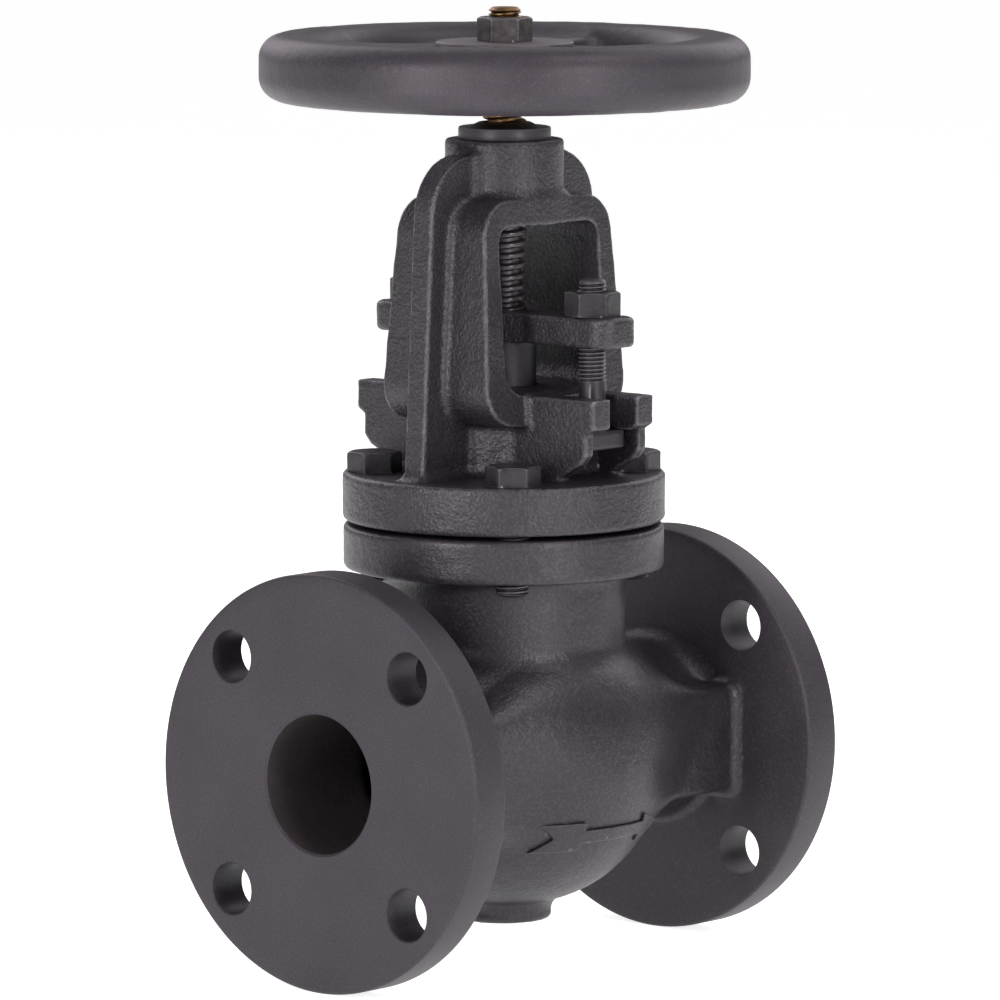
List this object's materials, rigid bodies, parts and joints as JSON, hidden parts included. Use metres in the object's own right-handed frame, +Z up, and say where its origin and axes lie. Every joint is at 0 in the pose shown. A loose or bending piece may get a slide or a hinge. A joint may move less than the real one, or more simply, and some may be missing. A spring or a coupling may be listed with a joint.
{
  "type": "globe valve",
  "caption": "Flanged globe valve with outside screw and yoke, bolted bonnet, stud-adjusted packing gland and a rising stem turned by a handwheel.",
  "frame": {"origin": "centre of the inlet flange face, on the pipe axis", "axes": "+X along the pipe, the way the flow goes; +Z up along the stem to the handwheel; +Y completes the right-handed frame"},
  "size_m": [0.2032, 0.18, 0.3517],
  "materials": {
    "casting_paint": "satin black paint over sand-cast iron, machined faces smoother",
    "wheel_enamel": "charcoal enamel with a slight orange peel",
    "bolt_paint": "black-painted steel, worn at the corners",
    "stem_brass": "turned manganese bronze, oiled",
    "bushing_brass": "brass painted over with the yoke",
    "bronze_trim": "machined bronze",
    "bare_steel": "worn bare steel",
    "plate_steel": "dull grey plate",
    "gasket_sheet": "compressed fibre sheet",
    "braided_packing": "graphited braid"
  },
  "bodies": {
    "housing": {"body": "casting_paint", "seat_ring": "bronze_trim", "bonnet_gasket": "gasket_sheet", "bonnet_yoke": "casting_paint", "backseat_bushing": "bronze_trim", "packing_ring_1": "braided_packing", "packing_ring_2": "braided_packing", "packing_ring_3": "braided_packing", "packing_ring_4": "braided_packing", "packing_gland": "casting_paint", "gland_bolt_front": "bolt_paint", "gland_bolt_back": "bolt_paint", "gland_nut_front": "bolt_paint", "gland_nut_back": "bolt_paint", "bonnet_bolt_1": "bolt_paint", "bonnet_bolt_2": "bolt_paint", "bonnet_bolt_3": "bolt_paint", "bonnet_bolt_4": "bolt_paint", "yoke_bushing": "bushing_brass", "bushing_lock_screw": "bare_steel"},
    "disc": {"valve_disc": "bronze_trim", "disc_nut": "bronze_trim"},
    "spindle": {"stem": "stem_brass", "handwheel": "wheel_enamel", "index_plate": "plate_steel", "handwheel_nut": "bare_steel"}
  },
  "joints": [
    {"name": "disc_lift", "type": "slide", "parent": "housing", "child": "disc", "axis": [0, 0, 1], "range_m": [0, 0.016]},
    {"name": "handwheel_turn", "type": "hinge", "parent": "disc", "child": "spindle", "pos_m": [0.1016, 0, 0.25], "axis": [0, 0, 1], "range_deg": [0, 1440]}
  ],
  "couplings": [
    {"joint": "disc_lift", "follows": "handwheel_turn", "m_per_rad": 0.00063662}
  ]
}
